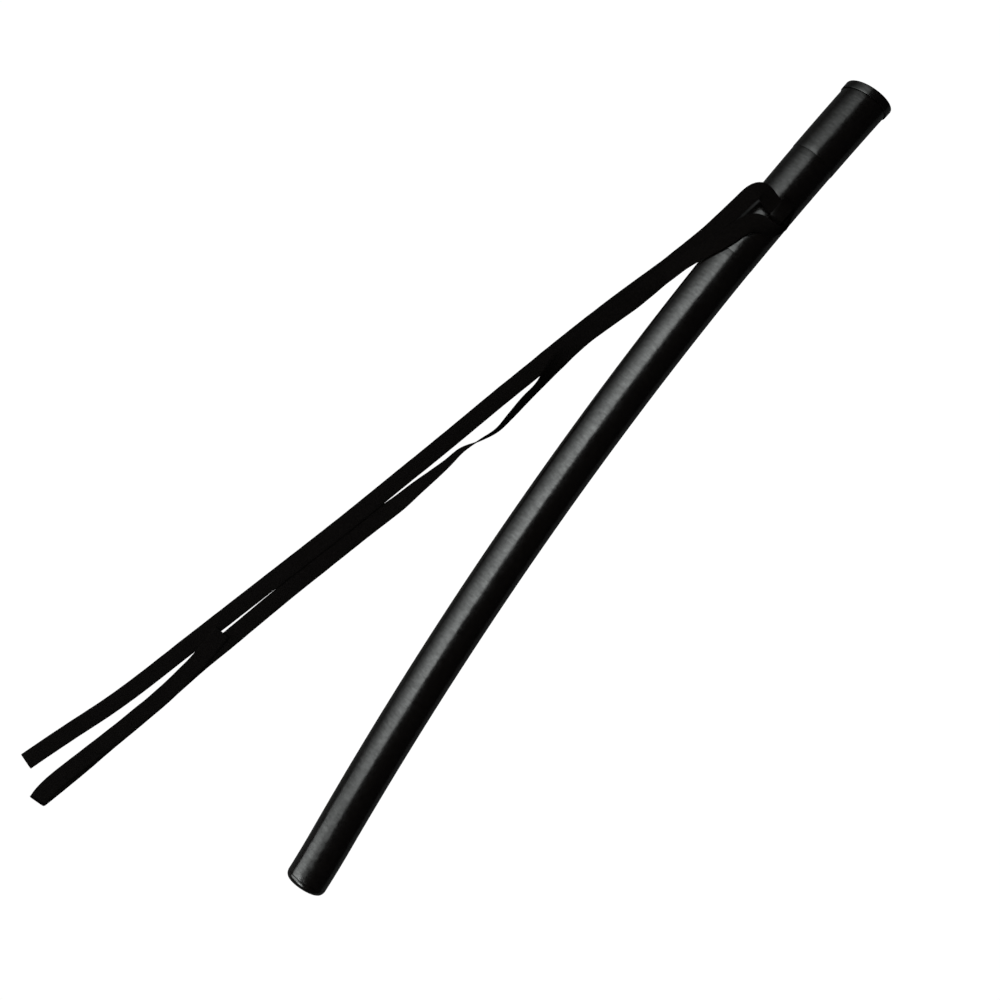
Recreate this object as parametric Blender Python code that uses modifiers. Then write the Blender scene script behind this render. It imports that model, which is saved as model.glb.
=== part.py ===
"""Scabbard for a wooden practice sword, lying on its flat side, with its flat woven cord.

Frame: metres, +Z up. The scabbard bends in the XY plane. +X runs along the chord of the bend
towards the mouth, +Y towards the outside of the bend, where the blade's edge goes. The origin is
under the middle of the scabbard's box, at the level of the surface that it lies on.
"""

import math

import bmesh
import bpy
from mathutils import Matrix, Vector

# Driving dimensions, in metres. "Along" is measured from the mouth rim along the bent axis.
LENGTH = 0.7778
BEND_RADIUS = 3.540
BEND_TOP = (0.00033, 0.01194)
FLATNESS = 0.75
WALL = 0.0022
GAP = 0.0003
REST_GAP = 0.00002

LIP_LENGTH = 0.0074
LIP_PROUD = 0.0009
LIP_GAP = 0.0005
SEAM_1 = 0.0690
SEAM_2 = 0.1690
CAP_START = 0.7713
CAP_ROUND = 0.0042

# The last stretch bends slightly outwards: where it starts, and how far out the tip ends up.
TIP_TURN_START = 0.7350
TIP_TURN = 0.0013

# Half widths of the outside, measured in the plane of the bend.
SLEEVE_HALF = (0.0200, 0.0198)
THROAT_HALF = (0.0195, 0.0190)
BODY_HALF = (0.01885, 0.01735)

JOINT_WALL = 0.0016
JOINT_REACH = 0.0200
PLUG_REACH = 0.0140
PLUG_WALL = 0.0022
RING_REACH = 0.0120
RING_WALL = 0.0018

# The cord knob on the upper side, a little towards the inside of the bend.
KNOB_ALONG = 0.1224
KNOB_SIDE = -0.0066
KNOB_LENGTH = 0.0245
KNOB_WIDTH = 0.0110
KNOB_HEIGHT = 0.0100
KNOB_ROUND = 0.0016
KNOB_SINK = 0.0060
HOLE_LENGTH = 0.0158
HOLE_HEIGHT = 0.0036
HOLE_LIFT = 0.0045
SCREW_RADIUS = 0.0011
SCREW_HEAD_RADIUS = 0.0024
SCREW_HEAD = 0.0012
SCREW_HEAD_DROP = 0.0036
SCREW_HOLE = 0.0014
SCREW_SPACING = 0.0195
SCREW_BITE = 0.0030

CORD_WIDTH = 0.0142
CORD_THICK = 0.0011
CORD_SPACING = 0.0160
CORD_RAISED = 0.0040
RAISED_SPACING = 0.0060

AROUND = 40

MIDDLE = LENGTH / 2

# The mouth is cut square to the chord of the bend, so it leans against the bent axis.
MOUTH_LEAN = MIDDLE / BEND_RADIUS

# Routes of the cord: x, y, z of its middle line and its bank in degrees, 0 where it lies flat.
# Both halves start inside the knob's hole.
UPPER_ROUTE = [
    (0.2667, -0.0043, 0.0335, 0),
    (0.2672, 0.0016, 0.0335, 0),
    (0.2681, 0.0072, 0.0342, 0),
    (0.2694, 0.0126, 0.0354, 2),
    (0.2694, 0.0179, 0.0362, 6),
    (0.2644, 0.0222, 0.0346, 12),
    (0.2514, 0.0253, 0.0300, 16),
    (0.2361, 0.0285, 0.0243, 14),
    (0.2216, 0.0322, 0.0167, 14),
    (0.2071, 0.0367, 0.0084, 9),
    (0.1917, 0.0415, 0.0021, 3),
    (0.1769, 0.0463, 0.0007, 0),
    (0.1460, 0.0566, 0.0007, 0),
    (0.1148, 0.0662, 0.0007, 0),
    (0.0836, 0.0752, 0.0007, 0),
    (0.0521, 0.0838, 0.0007, 0),
    (0.0208, 0.0925, 0.0007, 0),
    (-0.0107, 0.1008, 0.0007, 0),
    (-0.0422, 0.1092, 0.0007, 0),
    (-0.0736, 0.1179, 0.0010, 3),
    (-0.1050, 0.1265, 0.0015, 6),
    (-0.1362, 0.1352, 0.0015, 6),
    (-0.1675, 0.1444, 0.0014, 5),
    (-0.1987, 0.1537, 0.0014, 6),
    (-0.2300, 0.1630, 0.0009, 2),
    (-0.2612, 0.1723, 0.0007, 0),
    (-0.2924, 0.1816, 0.0007, 0),
    (-0.3236, 0.1907, 0.0007, 0),
    (-0.3469, 0.1979, 0.0007, 0),
    (-0.3700, 0.2059, 0.0007, 0),
    (-0.3928, 0.2148, 0.0007, 0),
    (-0.4157, 0.2236, 0.0007, 0),
    (-0.4425, 0.2335, 0.0007, 0),
]
LOWER_ROUTE = [
    (0.2667, -0.0049, 0.0335, 0),
    (0.2660, -0.0112, 0.0334, -7),
    (0.2651, -0.0137, 0.0322, -54),
    (0.2638, -0.0145, 0.0304, -73),
    (0.2608, -0.0146, 0.0302, -72),
    (0.2575, -0.0139, 0.0307, -76),
    (0.2541, -0.0123, 0.0320, -75),
    (0.2512, -0.0095, 0.0336, -71),
    (0.2494, -0.0046, 0.0350, -58),
    (0.2488, 0.0020, 0.0349, -38),
    (0.2460, 0.0090, 0.0331, -6),
    (0.2384, 0.0140, 0.0311, 10),
    (0.2285, 0.0177, 0.0293, 14),
    (0.2185, 0.0226, 0.0266, 18),
    (0.2071, 0.0286, 0.0207, 23),
    (0.1951, 0.0351, 0.0122, 20),
    (0.1831, 0.0400, 0.0058, 8),
    (0.1753, 0.0427, 0.0031, 3),
    (0.1518, 0.0489, 0.0021, 0),
    (0.1287, 0.0567, 0.0021, 0),
    (0.1056, 0.0644, 0.0023, 0),
    (0.0857, 0.0690, 0.0031, -8),
    (0.0665, 0.0709, 0.0052, -40),
    (0.0479, 0.0716, 0.0068, -64),
    (0.0317, 0.0740, 0.0070, -65),
    (0.0154, 0.0758, 0.0072, -70),
    (-0.0008, 0.0781, 0.0074, -80),
    (-0.0157, 0.0847, 0.0076, -90),
    (-0.0304, 0.0919, 0.0072, -112),
    (-0.0462, 0.0954, 0.0065, -123),
    (-0.0619, 0.0996, 0.0057, -134),
    (-0.0775, 0.1041, 0.0045, -147),
    (-0.0933, 0.1082, 0.0031, -160),
    (-0.1089, 0.1133, 0.0014, -174),
    (-0.1323, 0.1204, 0.0007, -180),
    (-0.1558, 0.1271, 0.0007, -180),
    (-0.1794, 0.1338, 0.0007, -180),
    (-0.2030, 0.1405, 0.0007, -180),
    (-0.2342, 0.1488, 0.0007, -180),
    (-0.2657, 0.1570, 0.0007, -180),
    (-0.2972, 0.1655, 0.0007, -180),
    (-0.3370, 0.1746, 0.0007, -180),
    (-0.3607, 0.1804, 0.0007, -180),
    (-0.3922, 0.1887, 0.0007, -180),
    (-0.4238, 0.1965, 0.0007, -180),
    (-0.4610, 0.2067, 0.0007, -180),
]
TURNED_BACK_ROUTE = [
    (-0.4619, 0.2069, 0.0008, 0),
    (-0.4625, 0.2070, 0.0011, 0),
    (-0.4625, 0.2070, 0.0018, 180),
    (-0.4618, 0.2070, 0.0021, 180),
    (-0.4538, 0.2067, 0.0021, 180),
    (-0.4380, 0.2034, 0.0021, 180),
    (-0.4069, 0.1941, 0.0021, 180),
    (-0.3757, 0.1848, 0.0021, 180),
    (-0.3600, 0.1806, 0.0021, 180),
    (-0.3380, 0.1745, 0.0021, 180),
    (-0.3108, 0.1692, 0.0021, 180),
    (-0.2924, 0.1664, 0.0021, 180),
    (-0.2637, 0.1645, 0.0021, 180),
]


def clear_scene():
    for old in list(bpy.data.objects):
        bpy.data.objects.remove(old)


def new_collection(name):
    made = bpy.data.collections.new(name)
    bpy.context.scene.collection.children.link(made)
    return made


def plain_material(name, colour, roughness):
    made = bpy.data.materials.new(name)
    made.use_nodes = True
    shader = made.node_tree.nodes["Principled BSDF"]
    shader.inputs["Base Color"].default_value = (*colour, 1.0)
    shader.inputs["Roughness"].default_value = roughness
    shader.inputs["Metallic"].default_value = 0.0
    return made


def bend_angle(along):
    """The turn of the axis away from +X, clockwise seen from above."""
    return (MIDDLE - along) / BEND_RADIUS


def between(ends, share):
    return ends[0] + (ends[1] - ends[0]) * share


def axis_height(along):
    """The axis comes down towards the tip, so that the lip and the tip both touch the surface."""
    heights = (SLEEVE_HALF[0] * FLATNESS + LIP_PROUD, BODY_HALF[1] * FLATNESS)
    return between(heights, along / LENGTH) + REST_GAP


def axis_frame(along):
    """Point on the bent axis, with local x along it towards the mouth and y towards the outside."""
    angle = bend_angle(along)
    last_stretch = LENGTH - TIP_TURN_START
    share = max(0.0, along - TIP_TURN_START) / last_stretch
    centre = Vector((
        BEND_TOP[0] + BEND_RADIUS * math.sin(angle),
        BEND_TOP[1] - BEND_RADIUS * (1 - math.cos(angle)) + TIP_TURN * share ** 2,
        axis_height(along),
    ))
    heading = -angle - 2 * TIP_TURN * share / last_stretch
    return Matrix.Translation(centre) @ Matrix.Rotation(heading, 4, "Z")


def oval_ring(bm, along, half_width, half_height, lean=0.0):
    """A ring of points: an oval across the bent axis, leaning back on the outside of the bend."""
    frame = axis_frame(along)
    ring = []
    for step in range(AROUND):
        turn = 2 * math.pi * step / AROUND
        side = half_width * math.cos(turn)
        local = Vector((-side * math.tan(lean), side, half_height * math.sin(turn)))
        ring.append(bm.verts.new(frame @ local))
    return ring


def join_rings(bm, first, second):
    for step in range(AROUND):
        following = (step + 1) % AROUND
        bm.faces.new((first[step], first[following], second[following], second[step]))


def finish_mesh(name, bm, material, collection):
    """Turns the built faces into an object, smooth except at its edges."""
    bmesh.ops.recalc_face_normals(bm, faces=bm.faces)
    mesh = bpy.data.meshes.new(name)
    bm.to_mesh(mesh)
    bm.free()
    mesh.shade_smooth()
    mesh.set_sharp_from_angle(angle=math.radians(35))
    if material:
        mesh.materials.append(material)
    made = bpy.data.objects.new(name, mesh)
    collection.objects.link(made)
    return made


def tube_shell(name, along, halves, wall, steps, material, collection, lean=0.0):
    """A tapering oval tube on the bent axis: an open surface, thickened inwards.

    Its mouth end can lean; the lean fades out towards the other end.
    """
    bm = bmesh.new()
    rings = []
    for step in range(steps + 1):
        share = step / steps
        half = between(halves, share)
        ring_lean = lean * (1 - share)
        rings.append(oval_ring(bm, between(along, share), half, half * FLATNESS, ring_lean))
    for first, second in zip(rings, rings[1:]):
        join_rings(bm, first, second)
    made = finish_mesh(name, bm, material, collection)
    shell = made.modifiers.new("wall", "SOLIDIFY")
    shell.thickness = wall
    shell.offset = -1
    shell.use_even_offset = True
    return made


def outer_half(along):
    """Half width of the outside at a place along the scabbard."""
    if along < SEAM_1:
        return between(SLEEVE_HALF, along / SEAM_1)
    if along < SEAM_2:
        return between(THROAT_HALF, (along - SEAM_1) / (SEAM_2 - SEAM_1))
    return between(BODY_HALF, (along - SEAM_2) / (CAP_START - SEAM_2))


def oval_turned(name, profile, material, collection):
    """A closed profile carried round the oval. Each point is (along, depth below the outside)."""
    bm = bmesh.new()
    rings = []
    for along, depth in profile:
        half = outer_half(along)
        lean = MOUTH_LEAN if along <= LIP_LENGTH else 0.0
        rings.append(oval_ring(bm, along, half - depth, half * FLATNESS - depth, lean))
    for first, second in zip(rings, rings[1:] + rings[:1]):
        join_rings(bm, first, second)
    return finish_mesh(name, bm, material, collection)


def mouth_ring(material, collection):
    """The lip round the mouth, with a spigot that fits inside the sleeve."""
    soft = 0.0012
    spigot_outside = WALL + GAP
    spigot_inside = spigot_outside + RING_WALL
    profile = [
        (LIP_LENGTH, spigot_outside),
        (LIP_LENGTH, soft * 0.5 - LIP_PROUD),
        (LIP_LENGTH - soft * 0.5, -LIP_PROUD),
        (soft, -LIP_PROUD),
        (soft * 0.3, soft * 0.3 - LIP_PROUD),
        (0.0, soft - LIP_PROUD),
        (0.0, spigot_inside - soft),
        (soft, spigot_inside),
        (LIP_LENGTH + RING_REACH, spigot_inside),
        (LIP_LENGTH + RING_REACH, spigot_outside),
    ]
    return oval_turned("mouth_ring", profile, material, collection)


def joint_sleeve(name, seam, material, collection):
    """An inner sleeve glued under a seam, joining the two tubes that meet there."""
    start, end = seam - JOINT_REACH, seam + JOINT_REACH
    outside = WALL + GAP
    step_down = outer_half(start) - outer_half(seam + GAP)
    profile = [
        (start, outside + step_down),
        (start, outside + step_down + JOINT_WALL),
        (end, outside + JOINT_WALL),
        (end, outside),
    ]
    return oval_turned(name, profile, material, collection)


def end_cap(material, collection):
    """The cap that closes the tip: a rounded edge, a flat end and a plug inside the tube."""
    bm = bmesh.new()
    plug_start = CAP_START - PLUG_REACH
    half = BODY_HALF[1]
    plug = half - WALL - GAP
    stations = [
        (CAP_START - GAP, plug - PLUG_WALL),
        (plug_start, plug - PLUG_WALL),
        (plug_start, plug),
        (CAP_START + GAP, plug),
        (CAP_START + GAP, half),
        (LENGTH - CAP_ROUND, half),
    ]
    for step in range(1, 5):
        turn = math.pi / 2 * step / 4
        stations.append((
            LENGTH - CAP_ROUND * (1 - math.sin(turn)),
            half - CAP_ROUND * (1 - math.cos(turn)),
        ))
    rings = []
    for along, half_width in stations:
        lost = half - half_width
        rings.append(oval_ring(bm, along, half_width, half * FLATNESS - lost))
    for first, second in zip(rings, rings[1:]):
        join_rings(bm, first, second)
    bm.faces.new(rings[0])
    bm.faces.new(rings[-1])
    return finish_mesh("end_cap", bm, material, collection)


def knob_frame():
    """Local frame at the knob's foot: x along the scabbard, y across it, z up, on its surface."""
    half = outer_half(KNOB_ALONG)
    rise = half * FLATNESS * math.sqrt(1 - (KNOB_SIDE / half) ** 2)
    return axis_frame(KNOB_ALONG) @ Matrix.Translation((0, KNOB_SIDE, rise))


def add_outline(curve, points):
    spline = curve.splines.new("POLY")
    spline.points.add(len(points) - 1)
    for point, (x, y) in zip(spline.points, points):
        point.co = (x, y, 0, 1)
    spline.use_cyclic_u = True


def knob_outline():
    """Side view of the knob: a low dome on straight flanks that run down into the tube."""
    steps, fullness = 22, 2.6
    outline = [(KNOB_LENGTH / 2, -KNOB_SINK)]
    for step in range(steps + 1):
        turn = math.pi * step / steps
        x = abs(math.cos(turn)) ** (2 / fullness) * KNOB_LENGTH / 2
        y = math.sin(turn) ** (2 / fullness) * KNOB_HEIGHT
        outline.append((math.copysign(x, math.cos(turn)), y))
    outline.append((-KNOB_LENGTH / 2, -KNOB_SINK))
    return outline


def hole_outline():
    """The cord's slot: straight top and bottom with round ends."""
    radius = HOLE_HEIGHT / 2
    straight = HOLE_LENGTH / 2 - radius
    steps = 6
    outline = []
    for side in (1, -1):
        for step in range(steps + 1):
            turn = math.pi * step / steps - math.pi / 2
            x = side * (straight + radius * math.cos(turn))
            outline.append((x, HOLE_LIFT + side * radius * math.sin(turn)))
    return outline


def curve_to_mesh(curve_object, name, collection):
    """Replaces a curve by a closed mesh of the same shape in the same place."""
    graph = bpy.context.evaluated_depsgraph_get()
    mesh = bpy.data.meshes.new_from_object(curve_object.evaluated_get(graph))
    bm = bmesh.new()
    bm.from_mesh(mesh)
    bmesh.ops.remove_doubles(bm, verts=bm.verts, dist=1e-6)
    bm.to_mesh(mesh)
    bm.free()
    made = bpy.data.objects.new(name, mesh)
    made.matrix_world = curve_object.matrix_world
    bpy.data.objects.remove(curve_object)
    collection.objects.link(made)
    return made


def cut(target, cutter):
    cutter.hide_render = True
    cutter.display_type = "WIRE"
    change = target.modifiers.new(f"cut_{cutter.name}", "BOOLEAN")
    change.operation = "DIFFERENCE"
    change.object = cutter
    change.solver = "EXACT"


def throat_cutter(cutters):
    """A solid oval, one gap larger than the tube under the knob."""
    bm = bmesh.new()
    rings = []
    for along in (KNOB_ALONG - KNOB_LENGTH, KNOB_ALONG, KNOB_ALONG + KNOB_LENGTH):
        half = outer_half(along)
        rings.append(oval_ring(bm, along, half + GAP, half * FLATNESS + GAP))
    for first, second in zip(rings, rings[1:]):
        join_rings(bm, first, second)
    bm.faces.new(rings[0])
    bm.faces.new(rings[-1])
    return finish_mesh("throat_outside", bm, None, cutters)


def turned_solid(bm, profile, sides, matrix):
    """A closed turned shape about the local z axis, from (radius, height) points, bottom first."""
    rings = []
    for radius, height in profile:
        ring = []
        for step in range(sides):
            turn = 2 * math.pi * step / sides
            local = Vector((radius * math.cos(turn), radius * math.sin(turn), height))
            ring.append(bm.verts.new(matrix @ local))
        rings.append(ring)
    for first, second in zip(rings, rings[1:]):
        for step in range(sides):
            following = (step + 1) % sides
            bm.faces.new((first[step], first[following], second[following], second[step]))
    bm.faces.new(rings[0])
    bm.faces.new(rings[-1])


def screw_frames():
    """Local frames of the rear and the front screw, on the tube's outside under the knob."""
    places = (-SCREW_SPACING / 2, SCREW_SPACING / 2)
    return [knob_frame() @ Matrix.Translation((place, 0, 0)) for place in places]


def screw_hole_cutter(cutters):
    bm = bmesh.new()
    profile = [(SCREW_HOLE, -0.0045), (SCREW_HOLE, SCREW_BITE + GAP)]
    for frame in screw_frames():
        turned_solid(bm, profile, 16, frame)
    return finish_mesh("screw_holes", bm, None, cutters)


def knob_screw(name, frame, material, collection):
    """A screw driven from inside the tube up into the knob."""
    bm = bmesh.new()
    head_top = -SCREW_HEAD_DROP
    head_bottom = head_top - SCREW_HEAD
    profile = [
        (SCREW_HEAD_RADIUS * 0.7, head_bottom),
        (SCREW_HEAD_RADIUS, head_bottom + SCREW_HEAD * 0.4),
        (SCREW_HEAD_RADIUS, head_top),
        (SCREW_RADIUS, head_top),
        (SCREW_RADIUS, SCREW_BITE - SCREW_RADIUS),
        (SCREW_RADIUS * 0.3, SCREW_BITE),
    ]
    turned_solid(bm, profile, 16, frame)
    return finish_mesh(name, bm, material, collection)


def cord_knob(material, collection, cutters, screw_holes):
    """The arched knob that holds the cord, its foot cut to the tube's outside."""
    curve = bpy.data.curves.new("knob_side_view", "CURVE")
    curve.dimensions = "2D"
    curve.fill_mode = "BOTH"
    curve.extrude = KNOB_WIDTH / 2
    add_outline(curve, knob_outline())
    add_outline(curve, hole_outline())
    guide = bpy.data.objects.new("knob_side_view", curve)
    cutters.objects.link(guide)
    guide.matrix_world = knob_frame() @ Matrix.Rotation(math.pi / 2, 4, "X")
    bpy.context.view_layer.update()
    knob = curve_to_mesh(guide, "cord_knob", collection)
    soft = knob.modifiers.new("rounded_edges", "BEVEL")
    soft.width = KNOB_ROUND
    soft.segments = 3
    soft.limit_method = "ANGLE"
    soft.angle_limit = math.radians(50)
    cut(knob, throat_cutter(cutters))
    cut(knob, screw_holes)
    knob.data.shade_smooth()
    knob.data.set_sharp_from_angle(angle=math.radians(40))
    knob.data.materials.append(material)
    return knob


def smooth_route(route):
    """Places and banks along a smooth curve through the route's own points."""
    points = [Vector(point) for point in route]
    stations = []
    for index in range(len(points) - 1):
        before = points[max(index - 1, 0)]
        start, end = points[index], points[index + 1]
        after = points[min(index + 2, len(points) - 1)]
        spacing = RAISED_SPACING if max(start.z, end.z) > CORD_RAISED else CORD_SPACING
        pieces = max(1, round((end - start).xyz.length / spacing))
        for piece in range(pieces):
            t = piece / pieces
            stations.append(0.5 * (
                2 * start
                + (end - before) * t
                + (2 * before - 5 * start + 4 * end - after) * t ** 2
                + (3 * start - before - 3 * end + after) * t ** 3
            ))
    stations.append(points[-1])
    return [(station.xyz, station.w) for station in stations]


def flat_cord(name, route, material, collection):
    """A flat woven cord: a ribbon with rounded edges along the route."""
    curve = bpy.data.curves.new(name, "CURVE")
    curve.dimensions = "3D"
    curve.fill_mode = "FULL"
    curve.use_fill_caps = True
    curve.twist_mode = "Z_UP"
    curve.extrude = (CORD_WIDTH - CORD_THICK) / 2
    curve.bevel_depth = CORD_THICK / 2
    curve.bevel_resolution = 2
    stations = smooth_route(route)
    spline = curve.splines.new("POLY")
    spline.points.add(len(stations) - 1)
    for point, (place, bank) in zip(spline.points, stations):
        point.co = (*place, 1)
        point.tilt = math.radians(90 + bank)
    curve.materials.append(material)
    made = bpy.data.objects.new(name, curve)
    collection.objects.link(made)
    return made


def tubes(plastic, inner_plastic, parts, screw_holes):
    """The hard pieces along the bent axis, from the mouth to the tip."""
    mouth_ring(plastic, parts)
    sleeve = (LIP_LENGTH + LIP_GAP, SEAM_1 - GAP / 2)
    throat = (SEAM_1 + GAP / 2, SEAM_2 - GAP / 2)
    body = (SEAM_2 + GAP / 2, CAP_START)
    tube_shell("mouth_sleeve", sleeve, SLEEVE_HALF, WALL, 4, plastic, parts, MOUTH_LEAN)
    throat_tube = tube_shell("throat_tube", throat, THROAT_HALF, WALL, 6, plastic, parts)
    cut(throat_tube, screw_holes)
    tube_shell("body_tube", body, BODY_HALF, WALL, 24, plastic, parts)
    joint_sleeve("mouth_joint_sleeve", SEAM_1, inner_plastic, parts)
    joint_sleeve("body_joint_sleeve", SEAM_2, inner_plastic, parts)
    end_cap(plastic, parts)


def main():
    clear_scene()
    parts = new_collection("practice_sword_scabbard")
    cutters = new_collection("cutters")
    plastic = plain_material("black_plastic", (0.012, 0.012, 0.013), 0.45)
    inner_plastic = plain_material("grey_plastic", (0.05, 0.05, 0.052), 0.55)
    knob_plastic = plain_material("knob_plastic", (0.010, 0.010, 0.012), 0.30)
    steel = plain_material("zinc_steel", (0.55, 0.55, 0.56), 0.35)
    woven = plain_material("black_woven_cord", (0.008, 0.008, 0.009), 0.85)
    screw_holes = screw_hole_cutter(cutters)
    tubes(plastic, inner_plastic, parts, screw_holes)
    cord_knob(knob_plastic, parts, cutters, screw_holes)
    for name, frame in zip(("knob_screw_rear", "knob_screw_front"), screw_frames()):
        knob_screw(name, frame, steel, parts)
    flat_cord("cord_upper_half", UPPER_ROUTE, woven, parts)
    flat_cord("cord_lower_half", LOWER_ROUTE, woven, parts)
    flat_cord("cord_turned_back_end", TURNED_BACK_ROUTE, woven, parts)


main()
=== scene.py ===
"""Looks for a practice-sword scabbard lying on its flat side, with its flat woven cord.

Frame: metres, +Z up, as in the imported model. The scabbard bends in the XY plane. +X runs along the
chord of the bend towards the mouth, +Y towards the outside of the bend.
"""

import math

import bmesh
import bpy
from mathutils import Matrix, Vector, noise


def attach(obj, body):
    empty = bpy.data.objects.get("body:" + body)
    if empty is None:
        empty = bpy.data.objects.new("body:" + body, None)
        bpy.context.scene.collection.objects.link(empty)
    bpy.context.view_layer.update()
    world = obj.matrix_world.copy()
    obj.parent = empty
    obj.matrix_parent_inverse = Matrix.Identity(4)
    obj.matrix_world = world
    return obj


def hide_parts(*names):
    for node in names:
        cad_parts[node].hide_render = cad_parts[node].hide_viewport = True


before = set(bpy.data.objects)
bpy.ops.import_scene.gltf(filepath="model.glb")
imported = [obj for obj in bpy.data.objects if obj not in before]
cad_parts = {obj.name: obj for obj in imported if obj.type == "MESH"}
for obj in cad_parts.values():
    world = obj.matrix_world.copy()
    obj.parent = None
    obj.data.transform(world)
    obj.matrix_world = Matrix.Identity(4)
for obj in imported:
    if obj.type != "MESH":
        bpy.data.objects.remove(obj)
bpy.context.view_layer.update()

# Shape of the hard parts, as in the model. "Along" is measured from the mouth rim.
LENGTH = 0.7778
BEND_RADIUS = 3.540
BEND_TOP = (0.00033, 0.01194)
FLATNESS = 0.75
WALL = 0.0022
GAP = 0.0003
REST_GAP = 0.00002
LIP_LENGTH = 0.0074
LIP_PROUD = 0.0009
LIP_GAP = 0.0005
SEAM_1 = 0.0690
SEAM_2 = 0.1690
CAP_START = 0.7713
CAP_ROUND = 0.0042
TIP_TURN_START = 0.7350
TIP_TURN = 0.0013
SLEEVE_HALF = (0.0200, 0.0198)
THROAT_HALF = (0.0195, 0.0190)
BODY_HALF = (0.01885, 0.01735)
PLUG_REACH = 0.0140
PLUG_WALL = 0.0022
RING_REACH = 0.0120
RING_WALL = 0.0018
KNOB_ALONG = 0.1224
KNOB_SIDE = -0.0066
KNOB_LENGTH = 0.0245
KNOB_WIDTH = 0.0110
KNOB_HEIGHT = 0.0100
KNOB_ROUND = 0.0016
KNOB_SINK = 0.0060
HOLE_LENGTH = 0.0158
HOLE_HEIGHT = 0.0036
HOLE_LIFT = 0.0045
MIDDLE = LENGTH / 2
MOUTH_LEAN = MIDDLE / BEND_RADIUS

# Fineness of the visible shapes. They differ from the model in three places: the seams are drawn
# nearly closed, the rounding of the tip's edge is drawn a millimetre longer, and the cord's fold is
# drawn above its turned-back layer, where the model has it below.
AROUND = 120
RING_SPACING = 0.006
EDGE_SOFT = 0.00025
SEEN_GAP = 0.00012
LIP_SOFT = 0.0012
LIP_BACK_SOFT = 0.0004
CAP_EDGE_SOFT = 0.0002
CAP_ROUND_LENGTH = 0.0053
CAP_ROUND_STEPS = 16
SHARP_ANGLE = 40

# The cord. Each route point is x, y, z of the middle line and the bank in degrees.
CORD_WIDTH = 0.0142
CORD_THICK = 0.0011
CORD_STEP = 0.0018
FOLD_RADIUS = 0.00068
FOLD_STEPS = 8
SECTION_STEPS = 14
SECTION_SQUARENESS = 7
EDGE_WANDER = 0.016
EDGE_WANDER_SCALE = 90
BRAID_ALONG = 0.0032
BRAID_ACROSS = 0.0026
UPPER_ROUTE = [
    (0.2667, -0.0043, 0.0335, 0),
    (0.2672, 0.0016, 0.0335, 0),
    (0.2681, 0.0072, 0.0342, 0),
    (0.2694, 0.0126, 0.0354, 2),
    (0.2694, 0.0179, 0.0362, 6),
    (0.2644, 0.0222, 0.0346, 12),
    (0.2514, 0.0253, 0.0300, 16),
    (0.2361, 0.0285, 0.0243, 14),
    (0.2216, 0.0322, 0.0167, 14),
    (0.2071, 0.0367, 0.0084, 9),
    (0.1917, 0.0415, 0.0021, 3),
    (0.1769, 0.0463, 0.0007, 0),
    (0.1460, 0.0566, 0.0007, 0),
    (0.1148, 0.0662, 0.0007, 0),
    (0.0836, 0.0752, 0.0007, 0),
    (0.0521, 0.0838, 0.0007, 0),
    (0.0208, 0.0925, 0.0007, 0),
    (-0.0107, 0.1008, 0.0007, 0),
    (-0.0422, 0.1092, 0.0007, 0),
    (-0.0736, 0.1179, 0.0010, 3),
    (-0.1050, 0.1265, 0.0015, 6),
    (-0.1362, 0.1352, 0.0015, 6),
    (-0.1675, 0.1444, 0.0014, 5),
    (-0.1987, 0.1537, 0.0014, 6),
    (-0.2300, 0.1630, 0.0009, 2),
    (-0.2612, 0.1723, 0.0007, 0),
    (-0.2924, 0.1816, 0.0007, 0),
    (-0.3236, 0.1907, 0.0007, 0),
    (-0.3469, 0.1979, 0.0007, 0),
    (-0.3700, 0.2059, 0.0007, 0),
    (-0.3928, 0.2148, 0.0007, 0),
    (-0.4157, 0.2236, 0.0007, 0),
    (-0.4425, 0.2335, 0.0007, 0),
]
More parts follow.
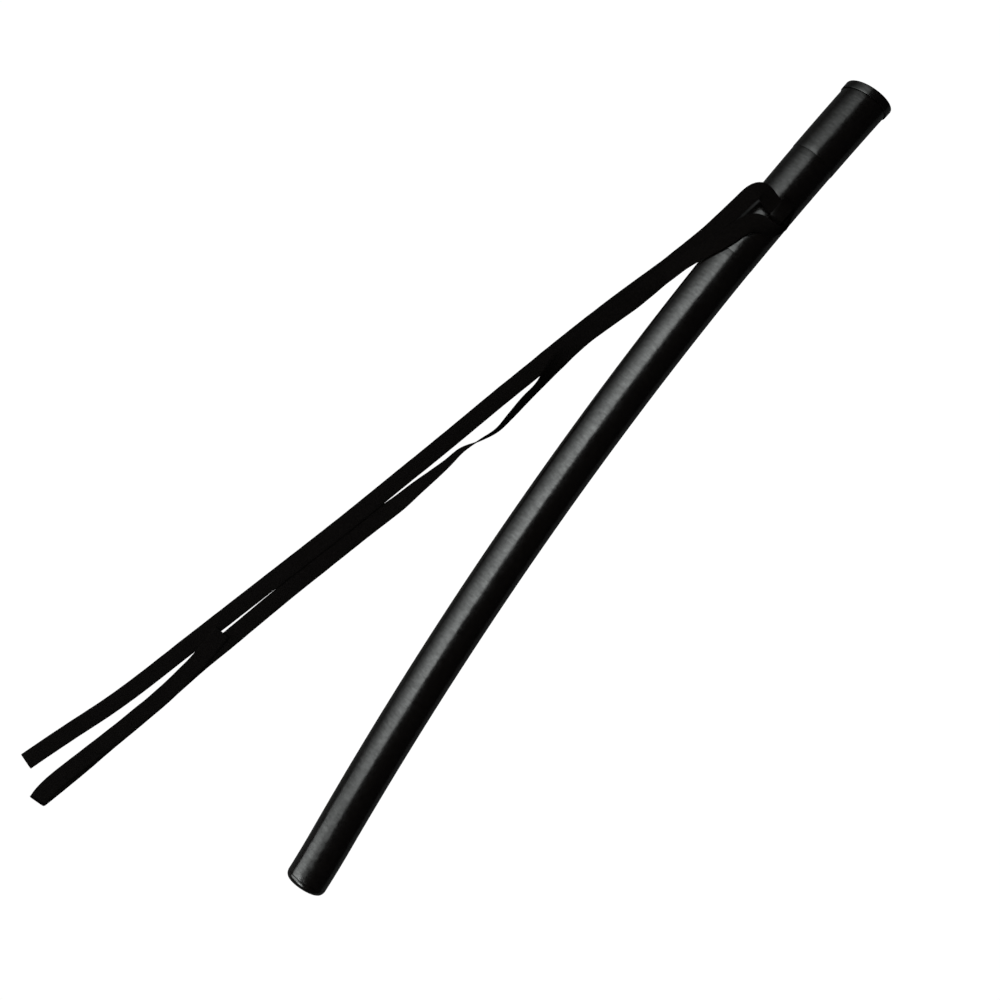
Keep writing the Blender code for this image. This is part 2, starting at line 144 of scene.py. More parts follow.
LOWER_ROUTE = [
    (0.2667, -0.0049, 0.0335, 0),
    (0.2660, -0.0112, 0.0334, -7),
    (0.2651, -0.0137, 0.0322, -54),
    (0.2638, -0.0145, 0.0304, -73),
    (0.2608, -0.0146, 0.0302, -72),
    (0.2575, -0.0139, 0.0307, -76),
    (0.2541, -0.0123, 0.0320, -75),
    (0.2512, -0.0095, 0.0336, -71),
    (0.2494, -0.0046, 0.0350, -58),
    (0.2488, 0.0020, 0.0349, -38),
    (0.2460, 0.0090, 0.0331, -6),
    (0.2384, 0.0140, 0.0311, 10),
    (0.2285, 0.0177, 0.0293, 14),
    (0.2185, 0.0226, 0.0266, 18),
    (0.2071, 0.0286, 0.0207, 23),
    (0.1951, 0.0351, 0.0122, 20),
    (0.1831, 0.0400, 0.0058, 8),
    (0.1753, 0.0427, 0.0031, 3),
    (0.1518, 0.0489, 0.0021, 0),
    (0.1287, 0.0567, 0.0021, 0),
    (0.1056, 0.0644, 0.0023, 0),
    (0.0857, 0.0690, 0.0031, -8),
    (0.0665, 0.0709, 0.0052, -40),
    (0.0479, 0.0716, 0.0068, -64),
    (0.0317, 0.0740, 0.0070, -65),
    (0.0154, 0.0758, 0.0072, -70),
    (-0.0008, 0.0781, 0.0074, -80),
    (-0.0157, 0.0847, 0.0076, -90),
    (-0.0304, 0.0919, 0.0072, -112),
    (-0.0462, 0.0954, 0.0065, -123),
    (-0.0619, 0.0996, 0.0057, -134),
    (-0.0775, 0.1041, 0.0045, -147),
    (-0.0933, 0.1082, 0.0031, -160),
    (-0.1089, 0.1133, 0.0014, -174),
    (-0.1323, 0.1204, 0.0007, -180),
    (-0.1558, 0.1271, 0.0007, -180),
    (-0.1794, 0.1338, 0.0007, -180),
    (-0.2030, 0.1405, 0.0007, -180),
    (-0.2342, 0.1488, 0.0007, -180),
    (-0.2657, 0.1570, 0.0007, -180),
    (-0.2972, 0.1655, 0.0007, -180),
    (-0.3370, 0.1746, 0.0007, -180),
    (-0.3607, 0.1804, 0.0007, -180),
    (-0.3922, 0.1887, 0.0007, -180),
    (-0.4238, 0.1965, 0.0007, -180),
    (-0.4610, 0.2067, 0.0007, -180),
]
TURNED_BACK_ROUTE = [
    (-0.4618, 0.2070, 0.0021, 180),
    (-0.4538, 0.2067, 0.0021, 180),
    (-0.4380, 0.2034, 0.0021, 180),
    (-0.4069, 0.1941, 0.0021, 180),
    (-0.3757, 0.1848, 0.0021, 180),
    (-0.3600, 0.1806, 0.0021, 180),
    (-0.3380, 0.1745, 0.0021, 180),
    (-0.3108, 0.1692, 0.0021, 180),
    (-0.2924, 0.1664, 0.0021, 180),
    (-0.2637, 0.1645, 0.0021, 180),
]

# Colours, each from its darkest to its lightest, and the plastic's streaks across the tube.
SHELL_DARK, SHELL_LIGHT = (0.0014, 0.0010, 0.0009), (0.0022, 0.0017, 0.0015)
KNOB_DARK, KNOB_LIGHT = (0.0016, 0.0013, 0.0012), (0.0022, 0.0019, 0.0018)
GREY_DARK, GREY_LIGHT = (0.045, 0.045, 0.047), (0.060, 0.060, 0.062)
STEEL_DARK, STEEL_LIGHT = (0.46, 0.46, 0.48), (0.60, 0.60, 0.60)
CORD_DARK, CORD_LIGHT = (0.0007, 0.0005, 0.0004), (0.0023, 0.0018, 0.0017)
STREAK_STRETCH = (1.0, 0.35, 0.35)
STREAK_LOW, STREAK_HIGH = 0.66, 1.34

# Camera: straight above, turned so that the mouth points to the upper right.
CAMERA_AT = (-0.04508, 0.04330, 0.840)
CAMERA_TURN = math.radians(-54.453)
CAMERA_LENS = 37.127

# Stage: what the camera sees round the scabbard, and the table top that only the plastic sees.
PAPER_GLOW = 1.02
PAPER_LEVEL = -0.0006
STAGE_RADIUS = 14.0
TABLE_GREY = (0.10, 0.10, 0.10)
TABLE_LEVEL = -0.0004
TABLE_RADIUS = 3.0
ROOM_GREY = (0.012, 0.012, 0.013)

# Light. Angles are in degrees. The stops of a panel are places and levels, first along it and then
# across it.
COOL_WHITE = (0.955, 1.0, 0.985)
PANEL_DISTANCE = 1.30
PANEL_ANGLE = 50
KEY_SIZE = (2.60, 2.54)
KEY_SHIFT = 0.33
KEY_SPIN = -3
KEY_RADIANCE = 5.1
KEY_ALONG = [
    (0.0, 0.30), (0.12, 0.80), (0.24, 1.0), (0.58, 1.0), (0.70, 0.52), (0.80, 0.30), (1.0, 0.14),
]
KEY_ACROSS = [
    (0.040, 0.0), (0.055, 1.0), (0.14, 1.0), (0.315, 0.84), (0.40, 0.60),
    (0.486, 0.43), (0.583, 0.26), (0.702, 0.12), (1.0, 0.02),
]
TIP_SIZE = (0.60, 1.20)
TIP_SHIFT = -1.12
TIP_RADIANCE = 5.6
TIP_ALONG = [(0.0, 0.9), (0.6, 1.0), (1.0, 0.35)]
TIP_ACROSS = [(0.0, 0.15), (0.17, 0.6), (0.31, 1.0), (0.5, 1.0), (0.75, 0.75), (1.0, 0.5)]
END_TARGET = (-0.38, 0.0, 0.0)
END_ANGLE = 45
END_TURN = 70
END_SIZE = (0.6, 0.2)
END_RADIANCE = 15.0


def new_object(name, mesh, material=None):
    made = bpy.data.objects.new(name, mesh)
    bpy.context.scene.collection.objects.link(made)
    if material:
        mesh.materials.append(material)
    return made


def between(ends, share):
    return ends[0] + (ends[1] - ends[0]) * share


def join_rings(bm, first, second):
    count = len(first)
    for step in range(count):
        following = (step + 1) % count
        bm.faces.new((first[step], first[following], second[following], second[step]))


def filled_mesh(name, bm):
    mesh = bpy.data.meshes.new(name)
    bm.to_mesh(mesh)
    bm.free()
    return mesh


def finish_mesh(name, bm, material, sharp=SHARP_ANGLE):
    """An object with its faces turned outwards, smooth apart from edges above the sharp angle."""
    bmesh.ops.recalc_face_normals(bm, faces=bm.faces)
    mesh = filled_mesh(name, bm)
    mesh.shade_smooth()
    mesh.set_sharp_from_angle(angle=math.radians(sharp))
    return new_object(name, mesh, material)


# ---------------------------------------------------------------- camera, floor and light


def add_camera():
    data = bpy.data.cameras.new("camera")
    data.lens = CAMERA_LENS
    data.sensor_width = 36.0
    data.clip_end = 60.0
    camera = bpy.data.objects.new("camera", data)
    camera.location = CAMERA_AT
    camera.rotation_euler = (0.0, 0.0, CAMERA_TURN)
    bpy.context.scene.collection.objects.link(camera)
    bpy.context.scene.camera = camera


def emission_material(name, colour, strength):
    made = bpy.data.materials.new(name)
    made.use_nodes = True
    nodes, links = made.node_tree.nodes, made.node_tree.links
    nodes.clear()
    glow = nodes.new("ShaderNodeEmission")
    glow.inputs["Color"].default_value = (*colour, 1.0)
    glow.inputs["Strength"].default_value = strength
    out = nodes.new("ShaderNodeOutputMaterial")
    links.new(glow.outputs["Emission"], out.inputs["Surface"])
    return made


def diffuse_material(name, colour):
    made = bpy.data.materials.new(name)
    made.use_nodes = True
    shader = made.node_tree.nodes["Principled BSDF"]
    shader.inputs["Base Color"].default_value = (*colour, 1.0)
    shader.inputs["Roughness"].default_value = 1.0
    shader.inputs["Specular IOR Level"].default_value = 0.0
    return made


def disc_mesh(name, radius, height, steps=96):
    bm = bmesh.new()
    ring = []
    for step in range(steps):
        turn = 2 * math.pi * step / steps
        ring.append(bm.verts.new((radius * math.cos(turn), radius * math.sin(turn), height)))
    bm.faces.new(ring)
    return filled_mesh(name, bm)


def dome_mesh(name, radius, drop=0.002):
    """The inside of a wide bowl turned over, with its rim just below the floor."""
    bm = bmesh.new()
    bmesh.ops.create_uvsphere(bm, u_segments=64, v_segments=32, radius=radius)
    low = [vert for vert in bm.verts if vert.co.z < -0.01]
    bmesh.ops.delete(bm, geom=low, context="VERTS")
    for vert in bm.verts:
        vert.co.z -= drop
    mesh = filled_mesh(name, bm)
    mesh.shade_smooth()
    return mesh


def add_stage():
    """White paper that only the camera sees, and a darker table top that only the object sees."""
    paper_look = emission_material("white_paper", (1, 1, 1), PAPER_GLOW)
    wall_look = emission_material("white_wall", (1, 1, 1), PAPER_GLOW)
    paper = new_object("paper", disc_mesh("paper", STAGE_RADIUS, PAPER_LEVEL), paper_look)
    backdrop = new_object("backdrop", dome_mesh("backdrop", STAGE_RADIUS - 0.1), wall_look)
    for shown in (paper, backdrop):
        shown.visible_diffuse = False
        shown.visible_glossy = False
        shown.visible_shadow = False
        shown.visible_transmission = False
    table_look = diffuse_material("table_paper", TABLE_GREY)
    table = new_object("table_top", disc_mesh("table_top", TABLE_RADIUS, TABLE_LEVEL), table_look)
    table.visible_camera = False


def graded_strength(light, radiance, along_stops, across_stops):
    """Brightness over the panel: one gradient along its width times one along its height."""
    light.use_nodes = True
    nodes, links = light.node_tree.nodes, light.node_tree.links
    place = nodes.new("ShaderNodeNewGeometry").outputs["Parametric"]
    split = nodes.new("ShaderNodeSeparateXYZ")
    links.new(place, split.inputs["Vector"])
    factors = []
    for axis, stops in (("X", along_stops), ("Y", across_stops)):
        grey = [(position, (level, level, level)) for position, level in stops]
        factors.append(ramp(nodes, links, split.outputs[axis], grey))
    strength = math_node(nodes, links, "MULTIPLY", factors[0], factors[1])
    strength = math_node(nodes, links, "MULTIPLY", strength, radiance)
    links.new(strength, nodes["Emission"].inputs["Strength"])


def add_panel(name, size, target=(0.0, 0.0, 0.0), angle=PANEL_ANGLE, turn=0.0, spin=0.0, radiance=1.0):
    """A soft box that faces the target.

    Angle is measured from the vertical towards +Y, turn swings it towards -X, and spin turns the
    box in its own plane. Its local x runs towards +X and its local y away from the vertical.
    """
    angle, turn, spin = (math.radians(value) for value in (angle, turn, spin))
    light = bpy.data.lights.new(name, "AREA")
    light.shape = "RECTANGLE"
    light.size, light.size_y = size
    light.energy = math.pi * size[0] * size[1] * radiance
    light.color = COOL_WHITE
    lamp = bpy.data.objects.new(name, light)
    outwards = Vector((
        -math.sin(turn) * math.sin(angle),
        math.cos(turn) * math.sin(angle),
        math.cos(angle),
    ))
    across = Vector((
        -math.sin(turn) * math.cos(angle),
        math.cos(turn) * math.cos(angle),
        -math.sin(angle),
    ))
    along = across.cross(outwards)
    turned = Matrix((along, across, outwards)).transposed() @ Matrix.Rotation(spin, 3, "Z")
    place = Vector(target) + outwards * PANEL_DISTANCE
    lamp.matrix_world = Matrix.Translation(place) @ turned.to_4x4()
    bpy.context.scene.collection.objects.link(lamp)
    return lamp


def add_light():
    """A long key panel that fades at its ends, a panel for the tip, and a small one for its end."""
    key = add_panel("key_panel", KEY_SIZE, spin=KEY_SPIN)
    key.location.x += KEY_SHIFT
    graded_strength(key.data, KEY_RADIANCE, KEY_ALONG, KEY_ACROSS)
    tip = add_panel("tip_panel", TIP_SIZE)
    tip.location.x += TIP_SHIFT
    graded_strength(tip.data, TIP_RADIANCE, TIP_ALONG, TIP_ACROSS)
    add_panel("end_panel", END_SIZE, END_TARGET, END_ANGLE, END_TURN, radiance=END_RADIANCE)
    world = bpy.data.worlds.new("dark_room")
    world.use_nodes = True
    background = world.node_tree.nodes["Background"]
    background.inputs["Color"].default_value = (*ROOM_GREY, 1.0)
    background.inputs["Strength"].default_value = 1.0
    bpy.context.scene.world = world
    bpy.context.scene.view_settings.view_transform = "Standard"
    bpy.context.scene.view_settings.look = "None"


# ---------------------------------------------------------------- materials


def principled(name):
    made = bpy.data.materials.new(name)
    made.use_nodes = True
    return made, made.node_tree.nodes, made.node_tree.links, made.node_tree.nodes["Principled BSDF"]


def noise_at(nodes, links, coordinates, scale, detail, roughness=0.55):
    texture = nodes.new("ShaderNodeTexNoise")
    texture.inputs["Scale"].default_value = scale
    texture.inputs["Detail"].default_value = detail
    texture.inputs["Roughness"].default_value = roughness
    links.new(coordinates, texture.inputs["Vector"])
    return texture.outputs["Fac"]


def ramp(nodes, links, value, stops):
    """A colour ramp. Each stop is a position and a colour."""
    made = nodes.new("ShaderNodeValToRGB")
    elements = made.color_ramp.elements
    while len(elements) > len(stops):
        elements.remove(elements[-1])
    while len(elements) < len(stops):
        elements.new(0.5)
    for element, (place, colour) in zip(elements, stops):
        element.position = place
        element.color = (*colour, 1.0)
    links.new(value, made.inputs["Fac"])
    return made.outputs["Color"]


def spread(nodes, links, value, low, high, out_low, out_high):
    made = nodes.new("ShaderNodeMapRange")
    made.inputs["From Min"].default_value = low
    made.inputs["From Max"].default_value = high
    made.inputs["To Min"].default_value = out_low
    made.inputs["To Max"].default_value = out_high
    links.new(value, made.inputs["Value"])
    return made.outputs["Result"]


def math_node(nodes, links, operation, first, second=None):
    made = nodes.new("ShaderNodeMath")
    made.operation = operation
    for socket, value in zip(made.inputs, (first, second)):
        if value is None:
            continue
        if isinstance(value, (int, float)):
            socket.default_value = value
        else:
            links.new(value, socket)
    return made.outputs["Value"]


def bump(nodes, links, height, strength, distance, below=None):
    made = nodes.new("ShaderNodeBump")
    made.inputs["Strength"].default_value = strength
    made.inputs["Distance"].default_value = distance
    links.new(height, made.inputs["Height"])
    if below:
        links.new(below, made.inputs["Normal"])
    return made.outputs["Normal"]


def weighted_sum(nodes, links, first, first_share, second, second_share):
    first = math_node(nodes, links, "MULTIPLY", first, first_share)
    second = math_node(nodes, links, "MULTIPLY", second, second_share)
    return math_node(nodes, links, "ADD", first, second)


def grained_plastic(name, dark, light, roughness, waviness, grain, specular=0.5):
    """Moulded plastic: fine grain, slight waves, and a sheen that is streaked across the tube."""
    made, nodes, links, shader = principled(name)
    place = nodes.new("ShaderNodeTexCoord").outputs["Object"]
    mottle = noise_at(nodes, links, place, scale=260.0, detail=3.0)
    fine = noise_at(nodes, links, place, scale=2600.0, detail=2.0)
    broad = noise_at(nodes, links, place, scale=34.0, detail=2.0)
    colour = ramp(nodes, links, mottle, [(0.35, dark), (0.70, light)])
    links.new(colour, shader.inputs["Base Color"])
    sheen = weighted_sum(nodes, links, broad, 0.5, mottle, 0.5)
    links.new(spread(nodes, links, sheen, 0.35, 0.65, *roughness), shader.inputs["Roughness"])
    stretched = nodes.new("ShaderNodeMapping")
    stretched.inputs["Scale"].default_value = STREAK_STRETCH
    links.new(place, stretched.inputs["Vector"])
    stretched_place = stretched.outputs["Vector"]
    streaks = noise_at(nodes, links, stretched_place, scale=480.0, detail=4.0, roughness=0.7)
    shine = spread(nodes, links, streaks, 0.3, 0.7, STREAK_LOW * specular, STREAK_HIGH * specular)
    links.new(shine, shader.inputs["Specular IOR Level"])
    waves = bump(nodes, links, mottle, strength=waviness, distance=0.0006)
    grained = bump(nodes, links, fine, strength=grain, distance=0.00012, below=waves)
    links.new(grained, shader.inputs["Normal"])
    return made


def steel_material(name):
    made, nodes, links, shader = principled(name)
    place = nodes.new("ShaderNodeTexCoord").outputs["Object"]
    mottle = noise_at(nodes, links, place, scale=900.0, detail=3.0)
    colour = ramp(nodes, links, mottle, [(0.3, STEEL_DARK), (0.7, STEEL_LIGHT)])
    links.new(colour, shader.inputs["Base Color"])
    links.new(spread(nodes, links, mottle, 0.3, 0.7, 0.28, 0.45), shader.inputs["Roughness"])
    shader.inputs["Metallic"].default_value = 1.0
    dented = bump(nodes, links, mottle, strength=0.15, distance=0.0001)
    links.new(dented, shader.inputs["Normal"])
    return made


def woven_material(name):
    """A flat braid: slanting threads that cross over and under in small diamonds."""
    made, nodes, links, shader = principled(name)
    along = nodes.new("ShaderNodeAttribute")
    along.attribute_name = "along"
    across = nodes.new("ShaderNodeAttribute")
    across.attribute_name = "across"
    ahead = math_node(nodes, links, "MULTIPLY", along.outputs["Fac"], 2 * math.pi / BRAID_ALONG)
    aside = math_node(nodes, links, "MULTIPLY", across.outputs["Fac"], 2 * math.pi / BRAID_ACROSS)
    rising = math_node(nodes, links, "ADD", ahead, aside)
    falling = math_node(nodes, links, "SUBTRACT", ahead, aside)
    rising_ridge = math_node(nodes, links, "ABSOLUTE", math_node(nodes, links, "SINE", rising))
    falling_ridge = math_node(nodes, links, "ABSOLUTE", math_node(nodes, links, "SINE", falling))
    rising_wave = math_node(nodes, links, "COSINE", rising)
    falling_wave = math_node(nodes, links, "COSINE", falling)
    over = math_node(nodes, links, "MULTIPLY", rising_wave, falling_wave)
    choose = spread(nodes, links, over, -0.15, 0.15, 0.0, 1.0)
    mix = nodes.new("ShaderNodeMix")
    links.new(choose, mix.inputs["Factor"])
    links.new(rising_ridge, mix.inputs["A"])
    links.new(falling_ridge, mix.inputs["B"])
    threads = mix.outputs["Result"]
    place = nodes.new("ShaderNodeTexCoord").outputs["Object"]
    fibre = noise_at(nodes, links, place, scale=5200.0, detail=2.0)
    patches = noise_at(nodes, links, place, scale=70.0, detail=2.0)
    # The colour has painted shade: it is darker in the hollows between the threads. It also varies in
    # random patches, which is the cord's own uneven tone.
    thread_gap_shade_and_patches = weighted_sum(nodes, links, threads, 0.6, patches, 0.4)
    colour = ramp(nodes, links, thread_gap_shade_and_patches, [(0.1, CORD_DARK), (0.8, CORD_LIGHT)])
    links.new(colour, shader.inputs["Base Color"])
    links.new(spread(nodes, links, fibre, 0.3, 0.7, 0.78, 0.95), shader.inputs["Roughness"])
    shader.inputs["Specular IOR Level"].default_value = 0.03
    weave = bump(nodes, links, threads, strength=0.7, distance=0.00022)
    fuzzy = bump(nodes, links, fibre, strength=0.25, distance=0.00006, below=weave)
    links.new(fuzzy, shader.inputs["Normal"])
    return made


# ---------------------------------------------------------------- cord


def smooth_route(route, spacing):
    """Places and banks along a smooth curve through the route's own points."""
    points = [Vector(point) for point in route]
    stations = []
    for index in range(len(points) - 1):
        before = points[max(index - 1, 0)]
        start, end = points[index], points[index + 1]
        after = points[min(index + 2, len(points) - 1)]
        pieces = max(1, round((end - start).xyz.length / spacing))
        for piece in range(pieces):
            t = piece / pieces
            stations.append(0.5 * (
                2 * start
                + (end - before) * t
                + (2 * before - 5 * start + 4 * end - after) * t ** 2
                + (3 * start - before - 3 * end + after) * t ** 3
            ))
    stations.append(points[-1])
    return [(station.xyz, station.w) for station in stations]


def ribbon_frames(stations):
    """Middle, side and upward direction at each station. The side is the right-hand edge."""
    frames = []
    for index, (place, bank) in enumerate(stations):
        ahead = stations[min(index + 1, len(stations) - 1)][0]
        behind = stations[max(index - 1, 0)][0]
        tangent = (ahead - behind).normalized()
        side = tangent.cross(Vector((0, 0, 1))).normalized()
        up = side.cross(tangent)
        angle = math.radians(bank)
        turned_side = side * math.cos(angle) - up * math.sin(angle)
        turned_up = up * math.cos(angle) + side * math.sin(angle)
        frames.append((place, turned_side, turned_up))
    return frames


def fold_frames(first):
    """The half turn at the fold, which starts above the turned-back layer and comes down to it.

    The up direction points at the floor here, because the turned-back layer lies face down.
    """
    place, side, up = first
    beyond = side.cross(up).normalized()
    frames = []
    for step in range(FOLD_STEPS):
        turn = math.pi * step / FOLD_STEPS
        against_up = -FOLD_RADIUS * (1 + math.cos(turn))
        offset = up * against_up + beyond * (FOLD_RADIUS * math.sin(turn))
        normal = up * (-math.cos(turn)) + beyond * math.sin(turn)
        frames.append((place + offset, side, normal))
    return frames


def ribbon_section():
    """Outline of the flat cord: nearly flat faces that thin a little into round edges."""
    half, thick = CORD_WIDTH / 2, CORD_THICK / 2
    points = []
    for side in (1, -1):
        for step in range(SECTION_STEPS + 1):
            share = 1 - 2 * step / SECTION_STEPS
            ripple = 0.97 + 0.03 * math.cos(share * math.pi * 3)
            x = share * half
            y = thick * (1 - abs(share) ** SECTION_SQUARENESS) ** 0.5 * ripple
            if side > 0:
                points.append((x, y))
            elif 0 < step < SECTION_STEPS:
                points.append((-x, -y))
    return points


def woven_ribbon(name, frames, material, seed):
    """A flat cord swept through its frames, with slightly uneven edges and threads."""
    section = ribbon_section()
    bm = bmesh.new()
    along_layer = bm.verts.layers.float.new("along")
    across_layer = bm.verts.layers.float.new("across")
    rings, travelled = [], 0.0
    for index, (place, side, up) in enumerate(frames):
        if index:
            travelled += (place - frames[index - 1][0]).length
        here = travelled * EDGE_WANDER_SCALE
        left = 1 + EDGE_WANDER * noise.noise(Vector((here, seed, 0.0)))
        right = 1 + EDGE_WANDER * noise.noise(Vector((here, seed, 7.0)))
        ring = []
        for x, y in section:
            stretched = x * (right if x > 0 else left)
            vert = bm.verts.new(place + side * stretched + up * y)
            vert[along_layer] = travelled
            vert[across_layer] = x if y >= 0 else CORD_WIDTH - x
            ring.append(vert)
        rings.append(ring)
    for first, second in zip(rings, rings[1:]):
        join_rings(bm, first, second)
    bm.faces.new(rings[0])
    bm.faces.new(rings[-1])
    return finish_mesh(name, bm, material, sharp=60), [place for place, side, up in frames]


def add_cords(material):
    upper = ribbon_frames(smooth_route(UPPER_ROUTE, CORD_STEP))
    lower = ribbon_frames(smooth_route(LOWER_ROUTE, CORD_STEP))
    back = ribbon_frames(smooth_route(TURNED_BACK_ROUTE, CORD_STEP))
    back = fold_frames(back[0]) + back
    for name, frames, node, seed in (
        ("woven_cord_upper_half", upper, "cord_upper_half", 1.0),
        ("woven_cord_lower_half", lower, "cord_lower_half", 2.0),
        ("woven_cord_turned_back_end", back, "cord_turned_back_end", 3.0),
    ):
        ribbon, path = woven_ribbon(name, frames, material, seed)
        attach(ribbon, "root")
        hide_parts(node)


# ---------------------------------------------------------------- hard parts


def bend_angle(along):
    """The turn of the axis away from +X, clockwise seen from above."""
    return (MIDDLE - along) / BEND_RADIUS


def axis_height(along):
    heights = (SLEEVE_HALF[0] * FLATNESS + LIP_PROUD, BODY_HALF[1] * FLATNESS)
    return between(heights, along / LENGTH) + REST_GAP


def axis_frame(along):
    """Point on the bent axis, with local x along it towards the mouth and y towards the outside."""
    angle = bend_angle(along)
    last_stretch = LENGTH - TIP_TURN_START
    share = max(0.0, along - TIP_TURN_START) / last_stretch
    centre = Vector((
        BEND_TOP[0] + BEND_RADIUS * math.sin(angle),
        BEND_TOP[1] - BEND_RADIUS * (1 - math.cos(angle)) + TIP_TURN * share ** 2,
        axis_height(along),
    ))
    heading = -angle - 2 * TIP_TURN * share / last_stretch
    return Matrix.Translation(centre) @ Matrix.Rotation(heading, 4, "Z")


def outer_half(along):
    """Half width of the outside at a place along the scabbard."""
    if along < SEAM_1:
        return between(SLEEVE_HALF, along / SEAM_1)
    if along < SEAM_2:
        return between(THROAT_HALF, (along - SEAM_1) / (SEAM_2 - SEAM_1))
    if along < CAP_START:
        return between(BODY_HALF, (along - SEAM_2) / (CAP_START - SEAM_2))
    return BODY_HALF[1]


def lean_at(along):
    """The mouth's cut leans against the axis, and the lean fades out towards the first seam."""
    start = LIP_LENGTH + LIP_GAP
    if along <= start:
        return MOUTH_LEAN
    return MOUTH_LEAN * max(0.0, 1 - (along - start) / (SEAM_1 - start))


def oval_ring(bm, along, half_width, half_height, lean):
    frame_here = axis_frame(along)
    ring = []
    for step in range(AROUND):
        turn = 2 * math.pi * step / AROUND
        side = half_width * math.cos(turn)
        local = Vector((-side * math.tan(lean), side, half_height * math.sin(turn)))
        ring.append(bm.verts.new(frame_here @ local))
    return ring


def oval_turned(name, profile, material, capped=False):
    """A profile carried round the oval. Each point is (along, depth below the outside)."""
    bm = bmesh.new()
    rings = []
    for along, depth in profile:
        half = outer_half(along)
        rings.append(oval_ring(bm, along, half - depth, half * FLATNESS - depth, lean_at(along)))
    pairs = list(zip(rings, rings[1:]))
    if not capped:
        pairs.append((rings[-1], rings[0]))
    for first, second in pairs:
        join_rings(bm, first, second)
    if capped:
        bm.faces.new(rings[0])
        bm.faces.new(rings[-1])
    return finish_mesh(name, bm, material)


def quarter(start, end, steps=5):
    """Points of a quarter round from start to end, leaving start in the depth direction."""
    points = []
    for step in range(steps + 1):
        turn = math.pi / 2 * step / steps
        along = start[0] + (end[0] - start[0]) * (1 - math.cos(turn))
        depth = start[1] + (end[1] - start[1]) * math.sin(turn)
        points.append((along, depth))
    return points


def line_points(start, end, depth):
    """Stations along a straight wall, without its two ends."""
    count = max(1, math.ceil(abs(end - start) / RING_SPACING))
    return [(start + (end - start) * step / count, depth) for step in range(1, count)]


def tube_profile(start, end, soft):
    """Closed wall profile of a tube with softened outer edges."""
    near_edge = quarter((start, soft), (start + soft, 0.0))
    profile = near_edge + line_points(start + soft, end - soft, 0.0)
    profile += [(end + start - along, depth) for along, depth in reversed(near_edge)]
    profile.append((end, WALL))
    profile += line_points(end, start, WALL)
    profile.append((start, WALL))
    return profile


def hard_piece(made, node):
    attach(made, "root")
    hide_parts(node)


def add_tubes(plastic):
    """The three stretches of tube, from the lip to the cap."""
    for name, node, start, end in (
        ("mouth_sleeve_shell", "mouth_sleeve", LIP_LENGTH + SEEN_GAP, SEAM_1 - SEEN_GAP / 2),
        ("throat_shell", "throat_tube", SEAM_1 + SEEN_GAP / 2, SEAM_2 - SEEN_GAP / 2),
        ("body_shell", "body_tube", SEAM_2 + SEEN_GAP / 2, CAP_START + GAP - SEEN_GAP),
    ):
        made = oval_turned(name, tube_profile(start, end, EDGE_SOFT), plastic)
        hard_piece(made, node)


def add_lip(plastic):
    """The ring in the mouth: a proud lip outside, and a spigot inside the sleeve."""
    outside = WALL + GAP
    inside = outside + RING_WALL
    front = quarter((0.0, LIP_SOFT - LIP_PROUD), (LIP_SOFT, -LIP_PROUD), 8)
    back = quarter((0.0, LIP_BACK_SOFT), (LIP_BACK_SOFT, 0.0), 6)
    inner = quarter((0.0, LIP_SOFT), (LIP_SOFT, 0.0), 6)
    profile = front + line_points(LIP_SOFT, LIP_LENGTH - LIP_BACK_SOFT, -LIP_PROUD)
    profile += [(LIP_LENGTH - along, depth - LIP_PROUD) for along, depth in reversed(back)]
    profile += [
        (LIP_LENGTH, outside),
        (LIP_LENGTH + RING_REACH, outside),
        (LIP_LENGTH + RING_REACH, inside),
        (LIP_SOFT, inside),
    ]
    profile += [(along, inside - depth) for along, depth in reversed(inner)][1:]
    hard_piece(oval_turned("mouth_lip_ring", profile, plastic), "mouth_ring")


def add_end_cap(plastic):
    """The closed tip, with a plug that reaches into the tube."""
    plug_start = CAP_START - PLUG_REACH
    step_in = WALL + GAP
    profile = [
        (CAP_START - GAP, step_in + PLUG_WALL),
        (plug_start, step_in + PLUG_WALL),
        (plug_start, step_in),
        (CAP_START + GAP, step_in),
        (CAP_START + GAP, CAP_EDGE_SOFT),
        (CAP_START + GAP + CAP_EDGE_SOFT, 0.0),
    ]
    for step in range(CAP_ROUND_STEPS + 1):
        turn = math.pi / 2 * step / CAP_ROUND_STEPS
        profile.append((
            LENGTH - CAP_ROUND_LENGTH * (1 - math.sin(turn)),
            CAP_ROUND * (1 - math.cos(turn)),
        ))
    made = oval_turned("tip_cap", profile, plastic, capped=True)
    hard_piece(made, "end_cap")


# ---------------------------------------------------------------- cord knob


def knob_frame():
    half = outer_half(KNOB_ALONG)
    rise = half * FLATNESS * math.sqrt(1 - (KNOB_SIDE / half) ** 2)
    return axis_frame(KNOB_ALONG) @ Matrix.Translation((0, KNOB_SIDE, rise))


def add_outline(curve, points):
    spline = curve.splines.new("POLY")
    spline.points.add(len(points) - 1)
    for point, (x, y) in zip(spline.points, points):
        point.co = (x, y, 0, 1)
    spline.use_cyclic_u = True


def knob_outline():
    """Side view of the knob: a low dome on straight flanks that run down into the tube."""
    steps, fullness = 64, 2.6
    outline = [(KNOB_LENGTH / 2, -KNOB_SINK)]
    for step in range(steps + 1):
        turn = math.pi * step / steps
        x = abs(math.cos(turn)) ** (2 / fullness) * KNOB_LENGTH / 2
        y = math.sin(turn) ** (2 / fullness) * KNOB_HEIGHT
        outline.append((math.copysign(x, math.cos(turn)), y))
    outline.append((-KNOB_LENGTH / 2, -KNOB_SINK))
    return outline


def hole_outline():
    """The cord's slot: straight top and bottom with round ends."""
    radius = HOLE_HEIGHT / 2
    straight = HOLE_LENGTH / 2 - radius
    steps = 12
    outline = []
    for side in (1, -1):
        for step in range(steps + 1):
            turn = math.pi * step / steps - math.pi / 2
            x = side * (straight + radius * math.cos(turn))
            outline.append((x, HOLE_LIFT + side * radius * math.sin(turn)))
    return outline


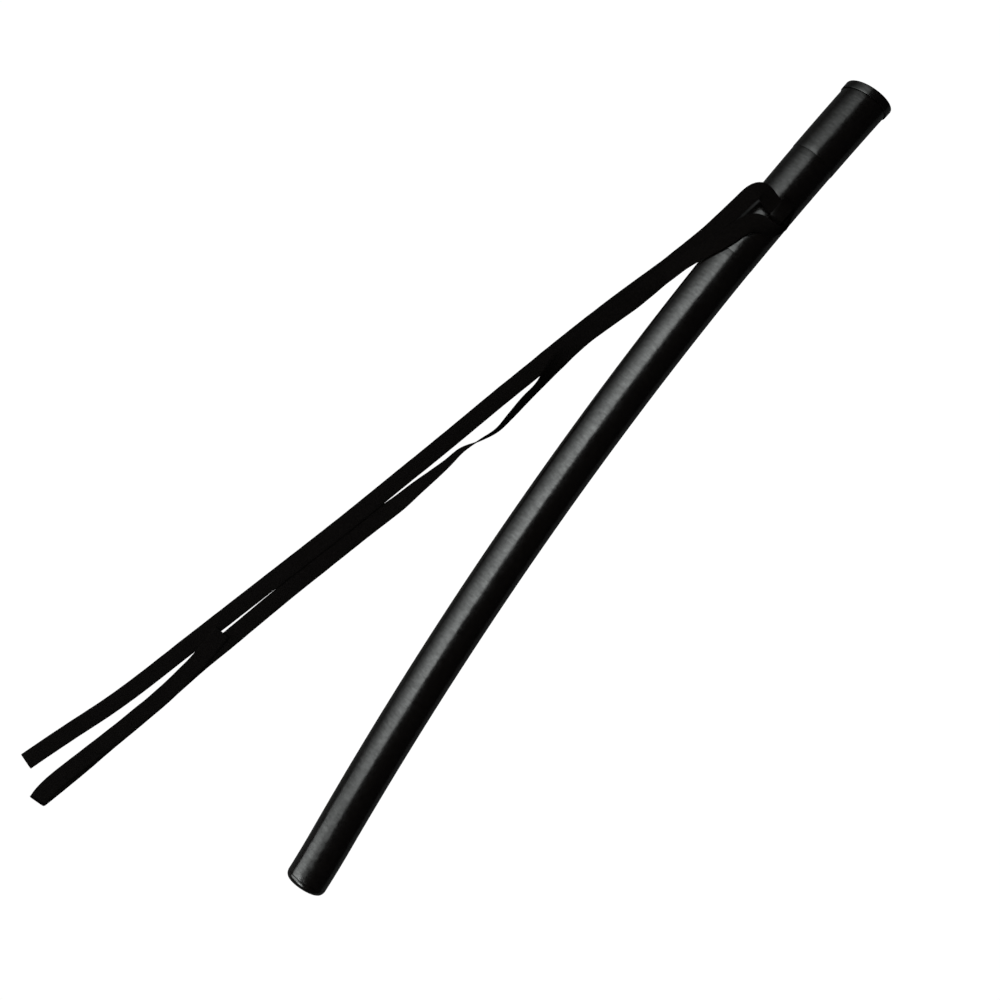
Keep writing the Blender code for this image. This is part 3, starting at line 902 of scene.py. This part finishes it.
def throat_cutter():
    """A solid oval, one gap larger than the tube under the knob."""
    bm = bmesh.new()
    rings = []
    for share in range(9):
        along = KNOB_ALONG + KNOB_LENGTH * (share / 4 - 1)
        half = outer_half(along)
        rings.append(oval_ring(bm, along, half + GAP, half * FLATNESS + GAP, 0.0))
    for first, second in zip(rings, rings[1:]):
        join_rings(bm, first, second)
    bm.faces.new(rings[0])
    bm.faces.new(rings[-1])
    return finish_mesh("knob_foot_cutter", bm, None)


def evaluated_mesh(made, name):
    bpy.context.view_layer.update()
    graph = bpy.context.evaluated_depsgraph_get()
    mesh = bpy.data.meshes.new_from_object(made.evaluated_get(graph))
    mesh.name = name
    mesh.transform(made.matrix_world)
    return mesh


def knob_block():
    """The knob's side view with its slot, carried across the knob's width."""
    curve = bpy.data.curves.new("knob_side_view", "CURVE")
    curve.dimensions = "2D"
    curve.fill_mode = "BOTH"
    curve.extrude = KNOB_WIDTH / 2
    add_outline(curve, knob_outline())
    add_outline(curve, hole_outline())
    guide = bpy.data.objects.new("knob_side_view", curve)
    bpy.context.scene.collection.objects.link(guide)
    guide.matrix_world = knob_frame() @ Matrix.Rotation(math.pi / 2, 4, "X")
    mesh = evaluated_mesh(guide, "knob_block")
    bpy.data.objects.remove(guide)
    bm = bmesh.new()
    bm.from_mesh(mesh)
    bmesh.ops.remove_doubles(bm, verts=bm.verts, dist=1e-6)
    bm.to_mesh(mesh)
    bm.free()
    return new_object("knob_block", mesh)


def add_knob(plastic):
    """The block with its edges rounded and its foot cut to the tube."""
    block = knob_block()
    soft = block.modifiers.new("rounded_edges", "BEVEL")
    soft.width = KNOB_ROUND
    soft.segments = 6
    soft.limit_method = "ANGLE"
    soft.angle_limit = math.radians(50)
    cutter = throat_cutter()
    foot = block.modifiers.new("foot", "BOOLEAN")
    foot.operation = "DIFFERENCE"
    foot.object = cutter
    foot.solver = "EXACT"
    mesh = evaluated_mesh(block, "cord_knob_shell")
    mesh.materials.clear()
    mesh.shade_smooth()
    mesh.set_sharp_from_angle(angle=math.radians(38))
    for used in (block, cutter):
        bpy.data.objects.remove(used)
    hard_piece(new_object("cord_knob_shell", mesh, plastic), "cord_knob")


def dress_hidden_parts(grey, steel):
    """The inner sleeves and the screws keep the model's own shapes."""
    for node, material in (
        ("mouth_joint_sleeve", grey),
        ("body_joint_sleeve", grey),
        ("knob_screw_rear", steel),
        ("knob_screw_front", steel),
    ):
        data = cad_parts[node]
        for slot in data.material_slots:
            slot.material = material


def main():
    add_camera()
    woven = woven_material("black_woven_cord_look")
    add_cords(woven)
    plastic = grained_plastic(
        "black_plastic_look", SHELL_DARK, SHELL_LIGHT,
        roughness=(0.17, 0.23), waviness=0.13, grain=0.12,
    )
    knob_plastic = grained_plastic(
        "knob_plastic_look", KNOB_DARK, KNOB_LIGHT,
        roughness=(0.12, 0.17), waviness=0.10, grain=0.10, specular=0.12,
    )
    grey = grained_plastic(
        "grey_plastic_look", GREY_DARK, GREY_LIGHT,
        roughness=(0.48, 0.60), waviness=0.2, grain=0.3,
    )
    steel = steel_material("zinc_steel_look")
    add_lip(plastic)
    add_tubes(plastic)
    add_end_cap(plastic)
    add_knob(knob_plastic)
    dress_hidden_parts(grey, steel)
    add_stage()
    add_light()


main()
